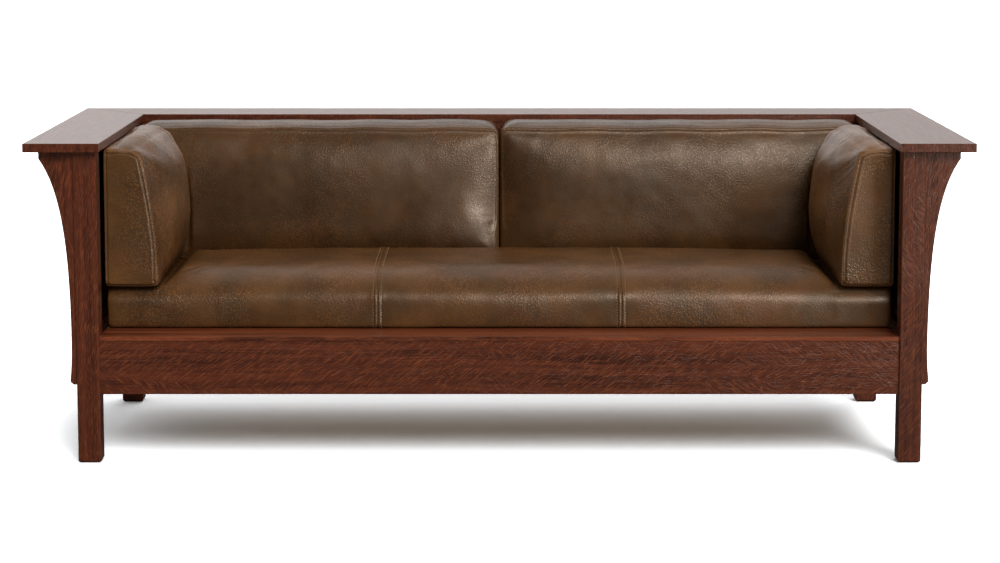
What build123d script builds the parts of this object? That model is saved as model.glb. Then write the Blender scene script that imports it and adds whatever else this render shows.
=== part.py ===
"""Mission settle: an oak frame under flat caps, with five loose leather cushions.

Millimetres. +X runs along the settle, the front faces -Y and +Z is up. The origin is on the
floor, under the middle of the caps.
"""

import os

from build123d import *

os.makedirs("parts", exist_ok=True)

# ---- driving dimensions ----------------------------------------------------------------

# The whole settle, measured over its caps
length = 2146.0
depth = 927.0
height = 737.0

# Flat caps on the arms and the back, and how far they reach past the posts
cap_thickness = 20.0
cap_front_overhang = 22.0
cap_side_overhang = 109.0
cap_rear_overhang = 153.0
cap_inner_overhang = 10.0
back_cap_width = 185.0
cap_ease = 1.2
mitre_gap = 0.2

# Key that joins each mitre inside the caps
key_thickness = 6.0
key_width = 30.0
key_inner_margin = 45.0
key_outer_margin = 35.0

# Posts
post_side = 52.0
foot_chamfer = 5.0
post_ease = 1.2

# Rails, stiles and panels
board_thickness = 24.0
front_rail_thickness = 22.0
rail_reveal = 6.0
rail_bottom = 159.0
seat_level = 292.0
upper_rail_height = 60.0
stile_width = 60.0
back_stile_count = 4
side_stile_count = 1
panel_thickness = 8.0
panel_housing = 8.0
panel_room = 1.0

# Mortise and tenon joints
tenon_length = 25.0
tenon_thickness = 10.0
tenon_shoulder = 12.0
joint_gap = 0.2

# Ledge along the front rail, deck, slats and the cleats that carry them
ledge_thickness = 10.0
ledge_depth = 125.0
slat_count = 12
slat_width = 70.0
slat_thickness = 20.0
slat_end_margin = 22.0
cleat_width = 25.0
cleat_height = 32.0
fitting_gap = 0.5

# Corbels
corbel_thickness = 38.0
corbel_edge_margin = 30.5
corbel_nose = 17.0
corbel_scoop_rise = 66.0
corbel_scoop_share = 0.68
corbel_waist = 11.4
corbel_waist_level = 265.0
corbel_waist_rise = 250.0
corbel_flare = 15.5
corbel_flare_level = 194.0
corbel_foot_level = 181.5
corbel_foot_chamfer = 6.5

# Dowels and screws
dowel_radius = 5.0
dowel_in_frame = 10.0
dowel_in_cap = 12.0
screw_radius = 2.2
screw_head_radius = 4.2
screw_head_height = 3.0
hole_gap = 0.15
slat_screw_length = 36.0
cleat_screw_length = 38.0
cleat_screw_count = 8
corbel_screw_length = 66.0
corbel_screw_sink = 8.0
corbel_screw_offset = 8.0
corbel_screw_drops = (60.0, 120.0)
back_corbel_screw_lower = 20.0

# Leather covers and the foam inside
leather = 2.0
foam_gap = 0.5
cushion_gap = 0.5
side_gap = 1.0
lift_gap = 1.0
frame_gap = 2.0

# Seat cushion
seat_front_setback = 107.0
seat_side_height = 98.0
seat_middle_height = 125.0
seat_shoulder_width = 30.0
seat_shoulder_round = 12.0
seat_corner_round = 16.0
seat_bottom_round = 8.0
seat_front_rise = 44.0
seat_front_roll = 135.0
seat_front_tuck = 4.0
seat_crown_lift = 1.5

# Arm cushions
arm_front_setback = 92.0
arm_top_width = 88.0
arm_bottom_width = 126.0
arm_bulge = 22.0
arm_top_gap = 3.5
arm_corner_round = 22.0
arm_edge_round = 20.0

# Back cushions
back_cushion_depth = 151.0
back_cushion_bulge = 36.0
back_cushion_rise = 3.0
back_top_step = 14.0
back_top_lean = 10.0
back_top_roll = 45.0
back_front_tuck = 16.0
back_corner_round = 26.0
middle_gap = 0.8

# How far a cut runs past the surface that it cuts
cut_margin = 12.0

# ---- places worked out from them -----------------------------------------------------------

front_y = -depth / 2
rear_y = depth / 2
cap_under = height - cap_thickness
arm_cap_width = cap_side_overhang + post_side + cap_inner_overhang
arm_cap_inner_x = length / 2 - arm_cap_width
back_cap_inner_y = rear_y - back_cap_width

outer_face_x = length / 2 - cap_side_overhang
inner_face_x = outer_face_x - post_side
post_x = outer_face_x - post_side / 2
front_post_y = front_y + cap_front_overhang + post_side / 2
rear_post_y = rear_y - cap_rear_overhang - post_side / 2
cross_span = 2 * inner_face_x
side_span = rear_post_y - front_post_y - post_side
side_middle_y = (front_post_y + rear_post_y) / 2

side_frame_x = outer_face_x - rail_reveal - board_thickness / 2
back_frame_y = rear_post_y + post_side / 2 - rail_reveal - board_thickness / 2
front_rail_y = front_post_y - post_side / 2 + rail_reveal + front_rail_thickness / 2
front_rail_face_y = front_rail_y - front_rail_thickness / 2
front_rail_back_y = front_rail_y + front_rail_thickness / 2
back_frame_front_y = back_frame_y - board_thickness / 2

ledge_under = seat_level - ledge_thickness
lower_rail_height = seat_level - rail_bottom
front_rail_height = ledge_under - rail_bottom
lower_rail_z = (rail_bottom + seat_level) / 2
front_rail_z = (rail_bottom + ledge_under) / 2
upper_rail_under = cap_under - upper_rail_height
upper_rail_z = cap_under - upper_rail_height / 2
panel_opening = upper_rail_under - seat_level
panel_z = (seat_level + upper_rail_under) / 2
groove_width = panel_thickness + 2 * joint_gap
groove_depth = panel_housing + panel_room
groove_rise = panel_opening + 2 * groove_depth

slat_under = ledge_under - slat_thickness
cleat_z = slat_under - cleat_height / 2
front_cleat_y = front_rail_back_y + cleat_width / 2
rear_cleat_y = back_frame_front_y - cleat_width / 2

cushion_side_x = inner_face_x - side_gap
cushion_back_y = back_frame_front_y - frame_gap
seat_base = seat_level + cushion_gap
seat_side_top = seat_level + seat_side_height
seat_middle_top = seat_level + seat_middle_height
seat_front_y = front_rail_face_y + seat_front_setback
arm_inner_x = cushion_side_x - (arm_top_width + arm_bottom_width) / 2 - arm_bulge
shoulder_outer_x = arm_inner_x - cushion_gap
shoulder_inner_x = shoulder_outer_x - seat_shoulder_width
arm_front_y = front_rail_face_y + arm_front_setback
arm_base = seat_side_top + cushion_gap
arm_top = cap_under - arm_top_gap
back_side_x = arm_cap_inner_x - lift_gap
back_rear_y = min(cushion_back_y, back_cap_inner_y - lift_gap)
back_corner_y = back_rear_y - back_cushion_depth
back_top = cap_under + back_cushion_rise
crown_rear_y = back_corner_y - back_cushion_bulge - frame_gap

# The back cushions' fronts are arcs in plan, and the arm cushions end where those arcs let them
arc_share = 2 * arm_inner_x / back_side_x - 1
arm_rear_y = back_corner_y - back_cushion_bulge * (1 - arc_share**2) - frame_gap

left, right = -1, 1
sides = {"left": left, "right": right}


def finish(builder, label):
    """Name a finished piece and write it out."""
    builder.part.label = label
    export_step(builder.part, f"parts/{label}.step")


# ---- posts ---------------------------------------------------------------------------------


def cut_cross_mortise(side, y, z, rise):
    """Mortise in a post's inner face, for a rail that runs along the settle."""
    with Locations((side * (inner_face_x + tenon_length / 2), y, z)):
        Box(
            tenon_length + 2 * joint_gap,
            tenon_thickness + 2 * joint_gap,
            rise - 2 * tenon_shoulder + 2 * joint_gap,
            mode=Mode.SUBTRACT,
        )


def cut_side_mortise(side, face_y, inward, z, rise):
    """Mortise in a post, for a rail that runs from the front to the back."""
    with Locations((side * side_frame_x, face_y - inward * tenon_length / 2, z)):
        Box(
            tenon_thickness + 2 * joint_gap,
            tenon_length + 2 * joint_gap,
            rise - 2 * tenon_shoulder + 2 * joint_gap,
            mode=Mode.SUBTRACT,
        )


def screw_hole(place, reach, sink):
    """Clearance hole for a screw, sunk below the surface that the plane lies on."""
    with BuildPart(place) as hole:
        Cylinder(
            screw_head_radius + hole_gap,
            sink + screw_head_height,
            align=(Align.CENTER, Align.CENTER, Align.MIN),
        )
        Cylinder(screw_radius + hole_gap, reach, align=(Align.CENTER, Align.CENTER, Align.MIN))
    return hole.part


def bore(places, reach, sink=0):
    """Cut the holes for a set of screws in the piece that is being made."""
    for place in places:
        add(screw_hole(place, reach + joint_gap, sink), mode=Mode.SUBTRACT)


def side_screw_places(side, y):
    """Planes on a post's inner face, looking out through it into the side corbel."""
    return [
        Plane(
            origin=(side * inner_face_x, y - corbel_screw_offset, cap_under - drop),
            x_dir=(0, 1, 0),
            z_dir=(side, 0, 0),
        )
        for drop in corbel_screw_drops
    ]


def back_screw_places(side):
    """Planes on a rear post's front face, looking back through it into the back corbel."""
    return [
        Plane(
            origin=(
                side * (post_x - corbel_screw_offset),
                rear_post_y - post_side / 2,
                cap_under - drop - back_corbel_screw_lower,
            ),
            x_dir=(1, 0, 0),
            z_dir=(0, 1, 0),
        )
        for drop in corbel_screw_drops
    ]


for name, side in sides.items():
    for end, post_y, inward in (("front", front_post_y, 1), ("rear", rear_post_y, -1)):
        seat_face_y = post_y + inward * post_side / 2
        with BuildPart() as post:
            with BuildSketch():
                with Locations((side * post_x, post_y)):
                    Rectangle(post_side, post_side)
            extrude(amount=cap_under)
            chamfer(post.faces().sort_by(Axis.Z)[0].edges(), foot_chamfer)
            chamfer(post.edges().filter_by(Axis.Z), post_ease)
            cut_side_mortise(side, seat_face_y, inward, lower_rail_z, lower_rail_height)
            cut_side_mortise(side, seat_face_y, inward, upper_rail_z, upper_rail_height)
            with Locations((side * side_frame_x, seat_face_y, panel_z)):
                Box(groove_width, 2 * groove_depth, groove_rise, mode=Mode.SUBTRACT)
            if end == "front":
                cut_cross_mortise(side, front_rail_y, front_rail_z, front_rail_height)
            else:
                cut_cross_mortise(side, back_frame_y, lower_rail_z, lower_rail_height)
                cut_cross_mortise(side, back_frame_y, upper_rail_z, upper_rail_height)
                with Locations((side * inner_face_x, back_frame_y, panel_z)):
                    Box(2 * groove_depth, groove_width, groove_rise, mode=Mode.SUBTRACT)
                bore(back_screw_places(side), post_side, corbel_screw_sink)
            bore(side_screw_places(side, post_y), post_side, corbel_screw_sink)
            with Locations((side * post_x, post_y, cap_under)):
                Cylinder(
                    dowel_radius + hole_gap,
                    2 * (dowel_in_frame + joint_gap),
                    mode=Mode.SUBTRACT,
                )
        finish(post, f"{end}_{name}_post")


# ---- rails, stiles and panels ----------------------------------------------------------------


def rail(place, span, rise, thickness, groove_edge=0):
    """A rail with a tenon at each end and, where asked, a panel groove along one edge."""
    with BuildPart(place) as made:
        Box(span, thickness, rise)
        chamfer(made.edges().filter_by(Axis.Z, reverse=True), cap_ease / 2)
        with GridLocations(span + tenon_length, 1, 2, 1):
            Box(tenon_length, tenon_thickness, rise - 2 * tenon_shoulder)
        if groove_edge:
            with Locations((0, 0, groove_edge * rise / 2)):
                Box(span, groove_width, 2 * groove_depth, mode=Mode.SUBTRACT)
    return made.part


def dowel_row(span, count):
    """Even places along a span, for dowels or stiles, none at its ends."""
    return [span * ((i + 1) / (count + 1) - 0.5) for i in range(count)]


def side_plane(side, z):
    """Middle of a side frame at the given height, with its X axis running back."""
    return Plane(origin=(side * side_frame_x, side_middle_y, z), x_dir=(0, 1, 0), z_dir=(0, 0, 1))


def back_plane(z):
    """Middle of the back frame at the given height."""
    return Plane(origin=(0, back_frame_y, z))


def cut_dowel_holes(places, level):
    """Holes for the cap dowels, in the top edge of an upper rail."""
    with Locations(*[(at, 0, level) for at in places]):
        Cylinder(dowel_radius + hole_gap, 2 * (dowel_in_frame + joint_gap), mode=Mode.SUBTRACT)


back_dowels = dowel_row(cross_span, 6)
side_dowels = dowel_row(side_span, 2)

def cleat_screw_places(face_y, outward):
    """Planes on a cleat's face, looking through it into its rail, clear of the slat screws."""
    return [
        Plane(origin=(x, face_y, cleat_z - cleat_height / 4), z_dir=(0, outward, 0))
        for x in dowel_row(cross_span, cleat_screw_count)
    ]


front_cleat_screws = cleat_screw_places(front_rail_back_y + cleat_width, -1)
rear_cleat_screws = cleat_screw_places(back_frame_front_y - cleat_width, 1)

with BuildPart() as front_rail:
    add(rail(Plane(origin=(0, front_rail_y, front_rail_z)), cross_span, front_rail_height,
             front_rail_thickness))
    bore(front_cleat_screws, cleat_screw_length)
finish(front_rail, "front_rail")

with BuildPart() as back_lower_rail:
    add(rail(back_plane(lower_rail_z), cross_span, lower_rail_height, board_thickness, 1))
    bore(rear_cleat_screws, cleat_screw_length)
finish(back_lower_rail, "back_lower_rail")

with BuildPart(back_plane(upper_rail_z)) as back_upper_rail:
    add(rail(Plane.XY, cross_span, upper_rail_height, board_thickness, -1))
    cut_dowel_holes(back_dowels, upper_rail_height / 2)
finish(back_upper_rail, "back_upper_rail")

for name, side in sides.items():
    with BuildPart() as side_lower_rail:
        add(rail(side_plane(side, lower_rail_z), side_span, lower_rail_height, board_thickness, 1))
    finish(side_lower_rail, f"{name}_lower_rail")

    with BuildPart(side_plane(side, upper_rail_z)) as side_upper_rail:
        add(rail(Plane.XY, side_span, upper_rail_height, board_thickness, -1))
        cut_dowel_holes(side_dowels, upper_rail_height / 2)
    finish(side_upper_rail, f"{name}_upper_rail")


def stile(place):
    """A stile between the rails, with stub tenons in their grooves and its own grooves."""
    with BuildPart(place) as made:
        Box(stile_width, board_thickness, panel_opening)
        chamfer(made.edges().filter_by(Axis.Z), cap_ease / 2)
        Box(stile_width, panel_thickness, panel_opening + 2 * panel_housing)
        with GridLocations(stile_width, 1, 2, 1):
            Box(2 * groove_depth, groove_width, panel_opening + 2 * panel_housing,
                mode=Mode.SUBTRACT)
    return made.part


def panel(place, opening):
    """A flat panel, loose in the grooves on all four sides."""
    with BuildPart(place) as made:
        Box(opening + 2 * panel_housing, panel_thickness, panel_opening + 2 * panel_housing)
    return made.part


def panel_width(span, stile_count):
    """Clear width between two stiles."""
    return (span - stile_count * stile_width) / (stile_count + 1)


def stile_centre(span, stile_count, index):
    """Place of one stile along the span."""
    return -span / 2 + (index + 1) * panel_width(span, stile_count) + (index + 0.5) * stile_width


def panel_centre(span, stile_count, index):
    """Place of one panel along the span."""
    return -span / 2 + (index + 0.5) * panel_width(span, stile_count) + index * stile_width


for index in range(back_stile_count):
    with BuildPart(back_plane(panel_z)) as back_stile:
        at = stile_centre(cross_span, back_stile_count, index)
        add(stile(Plane(origin=(at, 0, 0))))
    finish(back_stile, f"back_stile_{index + 1}")

for index in range(back_stile_count + 1):
    with BuildPart(back_plane(panel_z)) as back_panel:
        at = panel_centre(cross_span, back_stile_count, index)
        add(panel(Plane(origin=(at, 0, 0)), panel_width(cross_span, back_stile_count)))
    finish(back_panel, f"back_panel_{index + 1}")

for name, side in sides.items():
    for index in range(side_stile_count):
        with BuildPart(side_plane(side, panel_z)) as side_stile:
            at = stile_centre(side_span, side_stile_count, index)
            add(stile(Plane(origin=(at, 0, 0))))
        finish(side_stile, f"{name}_stile_{index + 1}")

    for index in range(side_stile_count + 1):
        with BuildPart(side_plane(side, panel_z)) as side_panel:
            at = panel_centre(side_span, side_stile_count, index)
            add(panel(Plane(origin=(at, 0, 0)), panel_width(side_span, side_stile_count)))
        finish(side_panel, f"{name}_panel_{index + 1}")


# ---- caps, their keys and dowels -------------------------------------------------------------

corner_inner = Vector(arm_cap_inner_x, back_cap_inner_y)
corner_outer = Vector(length / 2, rear_y)
mitre = corner_outer - corner_inner
mitre_direction = mitre.normalized()
mitre_across = Vector(-mitre_direction.Y, mitre_direction.X)

dowel_places = [(side * post_x, y) for side in (left, right) for y in (front_post_y, rear_post_y)]
dowel_places += [(side * side_frame_x, side_middle_y + at) for side in (left, right)
                 for at in side_dowels]
dowel_places += [(at, back_frame_y) for at in back_dowels]


def key_outline(side, margin):
    """Outline of a mitre key: a narrow rectangle laid across the mitre."""
    along_start = corner_inner + mitre_direction * (key_inner_margin - margin)
    along_end = corner_outer - mitre_direction * (key_outer_margin - margin)
    across = mitre_across * (key_width / 2 + margin)
    corners = [along_start + across, along_end + across, along_end - across, along_start - across]
    return [(side * corner.X, corner.Y) for corner in corners]


def cap(outline):
    """A cap board with eased edges, bored for its dowels and slotted for its keys."""
    with BuildPart() as made:
        with BuildSketch(Plane.XY.offset(cap_under)):
            with BuildLine():
                Polyline(*outline, close=True)
            make_face()
        extrude(amount=cap_thickness)
        chamfer(made.faces().sort_by(Axis.Z)[-1].edges(), cap_ease)
        chamfer(made.faces().sort_by(Axis.Z)[0].edges(), cap_ease)
        with Locations(*[(x, y, cap_under) for x, y in dowel_places]):
            Cylinder(
                dowel_radius + hole_gap,
                2 * (dowel_in_cap + joint_gap),
                mode=Mode.SUBTRACT,
            )
        slot_level = cap_under + (cap_thickness - key_thickness) / 2 - joint_gap
        with BuildSketch(Plane.XY.offset(slot_level)):
            for side in (left, right):
                with BuildLine():
                    Polyline(*key_outline(side, joint_gap), close=True)
                make_face()
        extrude(amount=key_thickness + 2 * joint_gap, mode=Mode.SUBTRACT)
    return made.part


for name, side in sides.items():
    with BuildPart() as arm_cap:
        add(cap([
            (side * arm_cap_inner_x, front_y),
            (side * length / 2, front_y),
            (side * length / 2, rear_y - mitre_gap),
            (side * arm_cap_inner_x, back_cap_inner_y - mitre_gap),
        ]))
    finish(arm_cap, f"{name}_arm_cap")

with BuildPart() as back_cap:
    add(cap([
        (-arm_cap_inner_x, back_cap_inner_y),
        (arm_cap_inner_x, back_cap_inner_y),
        (length / 2, rear_y),
        (-length / 2, rear_y),
    ]))
finish(back_cap, "back_cap")

for name, side in sides.items():
    with BuildPart() as mitre_key:
        with BuildSketch(Plane.XY.offset(cap_under + (cap_thickness - key_thickness) / 2)):
            with BuildLine():
                Polyline(*key_outline(side, 0), close=True)
            make_face()
        extrude(amount=key_thickness)
    finish(mitre_key, f"{name}_mitre_key")

with BuildPart(Plane.XY.offset(cap_under - dowel_in_frame)) as cap_dowels:
    with Locations(*[(x, y, 0) for x, y in dowel_places]):
        Cylinder(
            dowel_radius,
            dowel_in_frame + dowel_in_cap,
            align=(Align.CENTER, Align.CENTER, Align.MIN),
        )
finish(cap_dowels, "cap_dowels")


# ---- corbels -----------------------------------------------------------------------------------


def corbel(place, reach, screw_places):
    """A long corbel on a post's face: a nose under the cap, a hollow curve and a small flare."""
    scoop = (reach - corbel_waist) * corbel_scoop_share
    nose_level = cap_under - corbel_nose
    with BuildPart() as made:
        with BuildSketch(place):
            with BuildLine():
                Line((0, cap_under), (reach, cap_under))
                Line((reach, cap_under), (reach, nose_level))
                Bezier(
                    (reach, nose_level),
                    (reach - scoop, nose_level - corbel_scoop_rise),
                    (corbel_waist, corbel_waist_level + corbel_waist_rise),
                    (corbel_waist, corbel_waist_level),
                )
                Bezier(
                    (corbel_waist, corbel_waist_level),
                    (corbel_waist, (corbel_waist_level + corbel_flare_level) / 2),
                    (corbel_flare, corbel_flare_level),
                )
                Polyline(
                    (corbel_flare, corbel_flare_level),
                    (corbel_flare, corbel_foot_level + corbel_foot_chamfer),
                    (corbel_flare - corbel_foot_chamfer, corbel_foot_level),
                    (0, corbel_foot_level),
                    (0, cap_under),
                )
            make_face()
        extrude(amount=corbel_thickness / 2, both=True)
        bore(screw_places, corbel_screw_length + corbel_screw_sink, corbel_screw_sink)
    return made.part


side_reach = cap_side_overhang - corbel_edge_margin
back_reach = cap_rear_overhang - corbel_edge_margin

for name, side in sides.items():
    for end, post_y in (("front", front_post_y), ("rear", rear_post_y)):
        side_place = Plane(
            origin=(side * outer_face_x, post_y, 0), x_dir=(side, 0, 0), z_dir=(0, -side, 0)
        )
        with BuildPart() as side_corbel:
            add(corbel(side_place, side_reach, side_screw_places(side, post_y)))
        finish(side_corbel, f"{end}_{name}_corbel")

    back_place = Plane(
        origin=(side * post_x, rear_post_y + post_side / 2, 0), x_dir=(0, 1, 0), z_dir=(1, 0, 0)
    )
    with BuildPart() as back_corbel:
        add(corbel(back_place, back_reach, back_screw_places(side)))
    finish(back_corbel, f"back_{name}_corbel")


# ---- seat platform -------------------------------------------------------------------------------


def screw(place, reach):
    """A flat-headed screw whose head lies at the plane and whose shank points along it."""
    with BuildPart(place) as made:
        Cylinder(
            screw_head_radius, screw_head_height, align=(Align.CENTER, Align.CENTER, Align.MIN)
        )
        Cylinder(screw_radius, reach, align=(Align.CENTER, Align.CENTER, Align.MIN))
    return made.part


slat_pitch = (cross_span - slat_width - 2 * slat_end_margin) / (slat_count - 1)
slat_front_y = front_rail_back_y + fitting_gap
slat_rear_y = back_frame_front_y - fitting_gap
slat_length = slat_rear_y - slat_front_y
slat_middle_y = (slat_front_y + slat_rear_y) / 2
slat_places = [(i - (slat_count - 1) / 2) * slat_pitch for i in range(slat_count)]
slat_screw_places = [
    Plane(origin=(x, y, ledge_under), x_dir=(1, 0, 0), z_dir=(0, 0, -1))
    for x in slat_places
    for y in (front_cleat_y, rear_cleat_y)
]

for end, cleat_y, screw_places in (
    ("front", front_cleat_y, front_cleat_screws),
    ("rear", rear_cleat_y, rear_cleat_screws),
):
    with BuildPart(Plane(origin=(0, cleat_y, cleat_z))) as cleat:
        Box(cross_span - 2 * fitting_gap, cleat_width, cleat_height)
        chamfer(cleat.edges().filter_by(Axis.X), cap_ease)
    with BuildPart() as bored_cleat:
        add(cleat.part)
        bore(slat_screw_places, slat_screw_length)
        bore(screw_places, cleat_screw_length)
    finish(bored_cleat, f"{end}_cleat")

with BuildPart(Plane(origin=(0, slat_middle_y, slat_under + slat_thickness / 2))) as slat_row:
    with Locations(*[(x, 0, 0) for x in slat_places]):
        Box(slat_width, slat_length, slat_thickness)
with BuildPart() as seat_slats:
    add(slat_row.part)
    bore(slat_screw_places, slat_screw_length)
finish(seat_slats, "seat_slats")

with BuildPart() as slat_screws:
    for place in slat_screw_places:
        add(screw(place, slat_screw_length))
finish(slat_screws, "slat_screws")

with BuildPart() as cleat_screws:
    for place in front_cleat_screws + rear_cleat_screws:
        add(screw(place, cleat_screw_length))
finish(cleat_screws, "cleat_screws")

with BuildPart() as corbel_screws:
    for side in (left, right):
        places = side_screw_places(side, front_post_y) + side_screw_places(side, rear_post_y)
        for place in places + back_screw_places(side):
            add(screw(place.offset(corbel_screw_sink), corbel_screw_length))
finish(corbel_screws, "corbel_screws")

with BuildPart() as corbel_plugs:
    for side in (left, right):
        places = side_screw_places(side, front_post_y) + side_screw_places(side, rear_post_y)
        for place in places + back_screw_places(side):
            with Locations(place):
                Cylinder(
                    screw_head_radius + hole_gap / 2,
                    corbel_screw_sink,
                    align=(Align.CENTER, Align.CENTER, Align.MIN),
                )
finish(corbel_plugs, "corbel_plugs")

with BuildPart() as seat_ledge:
    with BuildSketch(Plane.XY.offset(ledge_under)):
        with Locations((0, front_rail_face_y + ledge_depth / 2)):
            Rectangle(cross_span - 2 * joint_gap, ledge_depth)
    extrude(amount=ledge_thickness)
    chamfer(seat_ledge.edges().filter_by(Axis.X), cap_ease)
finish(seat_ledge, "seat_ledge")

deck_front_y = front_rail_face_y + ledge_depth + fitting_gap
with BuildPart() as seat_deck:
    with BuildSketch(Plane.XY.offset(ledge_under)):
        with Locations((0, (deck_front_y + slat_rear_y) / 2)):
            Rectangle(cross_span - 2 * fitting_gap, slat_rear_y - deck_front_y)
    extrude(amount=ledge_thickness)
finish(seat_deck, "seat_deck")


# ---- cushions --------------------------------------------------------------------------------------


def shrink(inset):
    """Draw a sketch in by an inset, for the inside of a cover or for its foam."""
    if inset:
        offset(amount=-inset, kind=Kind.INTERSECTION)


def seat_roll(inset):
    """What is cut off above the rolled front of the seat cushion."""
    near_y = seat_front_y + inset
    top = seat_middle_top - inset
    with BuildPart() as made:
        with BuildSketch(Plane.YZ.offset(-length / 2)):
            with BuildLine():
                Bezier(
                    (near_y - cut_margin, seat_base + seat_front_rise - cut_margin),
                    (near_y + seat_front_tuck, seat_side_top - inset),
                    (near_y + seat_front_roll / 3, top),
                    (near_y + seat_front_roll, top + seat_crown_lift),
                )
                Polyline(
                    (near_y + seat_front_roll, top + seat_crown_lift),
                    (near_y + seat_front_roll, top + cut_margin),
                    (near_y - cut_margin, top + cut_margin),
                    (near_y - cut_margin, seat_base + seat_front_rise - cut_margin),
                )
            make_face()
        extrude(amount=length)
    return made.part


def seat_block(inset):
    """Main block of the seat cushion, as deep as the arm cushions leave it."""
    near_y = seat_front_y + inset
    with BuildPart() as made:
        with BuildSketch(Plane.XZ.offset(-near_y)) as across:
            with Locations((0, (seat_base + seat_side_top) / 2)):
                Rectangle(2 * cushion_side_x, seat_side_top - seat_base)
            fillet(across.vertices().group_by(Axis.Y)[0], seat_bottom_round)
            fillet(across.vertices().group_by(Axis.Y)[-1], seat_corner_round)
            shrink(inset)
        extrude(amount=near_y - cushion_back_y + inset)
        add(seat_roll(inset), mode=Mode.SUBTRACT)
    return made.part


def seat_crown(inset):
    """Crown of the seat cushion, between the arm cushions and in front of the back ones."""
    near_y = seat_front_y + inset
    with BuildPart() as made:
        with BuildSketch(Plane.XZ.offset(-near_y)) as across:
            with BuildLine():
                Polyline(
                    (-shoulder_outer_x + inset, seat_side_top - inset),
                    (shoulder_outer_x - inset, seat_side_top - inset),
                    (shoulder_inner_x - inset, seat_middle_top - inset),
                    (-shoulder_inner_x + inset, seat_middle_top - inset),
                    close=True,
                )
            make_face()
            fillet(across.vertices().group_by(Axis.Y)[-1], seat_shoulder_round)
        extrude(amount=near_y - crown_rear_y + inset)
        rear_edge = made.edges().filter_by(Axis.X).group_by(Axis.Y)[-1].sort_by(Axis.Z)[-1]
        chamfer(rear_edge, seat_shoulder_round)
        add(seat_roll(inset), mode=Mode.SUBTRACT)
    return made.part


def seat_form(inset):
    """Whole outside of the seat cushion, drawn in by an inset."""
    with BuildPart() as made:
        add(seat_block(inset))
        add(seat_crown(inset))
    return made.part


def arm_form(inset):
    """Right arm cushion: a wedge on end, wider at the foot, with a full inner face."""
    top_x = cushion_side_x - arm_top_width
    bottom_x = cushion_side_x - arm_bottom_width
    bulge_x = (top_x + bottom_x) / 2 - arm_bulge
    near_y = arm_front_y + inset
    with BuildPart() as made:
        with BuildSketch(Plane.XZ.offset(-near_y)) as across:
            with BuildLine():
                ThreePointArc((bottom_x, arm_base), (bulge_x, (arm_base + arm_top) / 2),
                              (top_x, arm_top))
                Polyline((top_x, arm_top), (cushion_side_x, arm_top), (cushion_side_x, arm_base),
                         (bottom_x, arm_base))
            make_face()
            fillet(across.vertices(), arm_corner_round)
            shrink(inset)
        extrude(amount=near_y - arm_rear_y + inset)
        ends = made.faces().sort_by(Axis.Y)
        fillet(ends[0].edges() + ends[-1].edges(), arm_edge_round - inset)
    return made.part


def back_form(inset):
    """Right back cushion: a knife-edged block, full in the middle of its front."""
    base = seat_side_top + cushion_gap
    full_y = back_corner_y - back_cushion_bulge
    near_y = full_y - cut_margin
    with BuildPart() as made:
        with BuildSketch(Plane.XZ.offset(-near_y)) as across:
            with BuildLine():
                Polyline(
                    (middle_gap, base),
                    (back_side_x, base),
                    (back_side_x, back_top),
                    (middle_gap, back_top),
                    close=True,
                )
            make_face()
            fillet(across.vertices().group_by(Axis.Y)[-1], back_corner_round)
            shrink(inset)
        extrude(amount=near_y - back_rear_y + inset)
        with BuildSketch(Plane.YZ.offset(-length / 2)):
            with BuildLine():
                ThreePointArc(
                    (back_corner_y - back_front_tuck + inset, base - cut_margin),
                    (full_y + inset, (base + back_top) / 2),
                    (back_corner_y + back_top_lean + inset, back_top - back_top_step),
                )
                Line(
                    (back_corner_y + back_top_lean + inset, back_top - back_top_step),
                    (back_corner_y + back_top_roll + inset, back_top + cut_margin - inset),
                )
                Polyline(
                    (back_corner_y + back_top_roll + inset, back_top + cut_margin - inset),
                    (near_y - cut_margin, back_top + cut_margin - inset),
                    (near_y - cut_margin, base - cut_margin),
                    (back_corner_y - back_front_tuck + inset, base - cut_margin),
                )
            make_face()
        extrude(amount=length, mode=Mode.SUBTRACT)
        with BuildSketch(Plane.XY):
            with BuildLine():
                ThreePointArc(
                    (0, back_corner_y + inset),
                    (back_side_x / 2, full_y + inset),
                    (back_side_x, back_corner_y + inset),
                )
                Polyline(
                    (back_side_x, back_corner_y + inset),
                    (back_side_x, near_y - cut_margin),
                    (0, near_y - cut_margin),
                    (0, back_corner_y + inset),
                )
            make_face()
        extrude(amount=height, mode=Mode.SUBTRACT)
    return made.part


def write_cushion(label, form, side=right):
    """Write a cushion as its leather cover and the foam core inside it."""
    with BuildPart() as cover:
        add(form(0))
        add(form(leather), mode=Mode.SUBTRACT)
        if side == left:
            mirror(about=Plane.YZ, mode=Mode.REPLACE)
    finish(cover, f"{label}_cover")
    with BuildPart() as core:
        add(form(leather + foam_gap))
        if side == left:
            mirror(about=Plane.YZ, mode=Mode.REPLACE)
    finish(core, f"{label}_foam")


with BuildPart() as seat_cushion_cover:
    add(seat_form(0))
    add(seat_form(leather), mode=Mode.SUBTRACT)
finish(seat_cushion_cover, "seat_cushion_cover")

with BuildPart() as seat_cushion_foam:
    add(seat_block(leather + foam_gap))
finish(seat_cushion_foam, "seat_cushion_foam")

with BuildPart() as seat_cushion_topper:
    add(seat_crown(leather + foam_gap))
finish(seat_cushion_topper, "seat_cushion_topper")

for name, side in sides.items():
    write_cushion(f"{name}_arm_cushion", arm_form, side)
    write_cushion(f"{name}_back_cushion", back_form, side)
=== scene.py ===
import math

import bmesh
import bpy
import numpy as np
from mathutils import Matrix, Vector, noise
from mathutils.bvhtree import BVHTree


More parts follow.
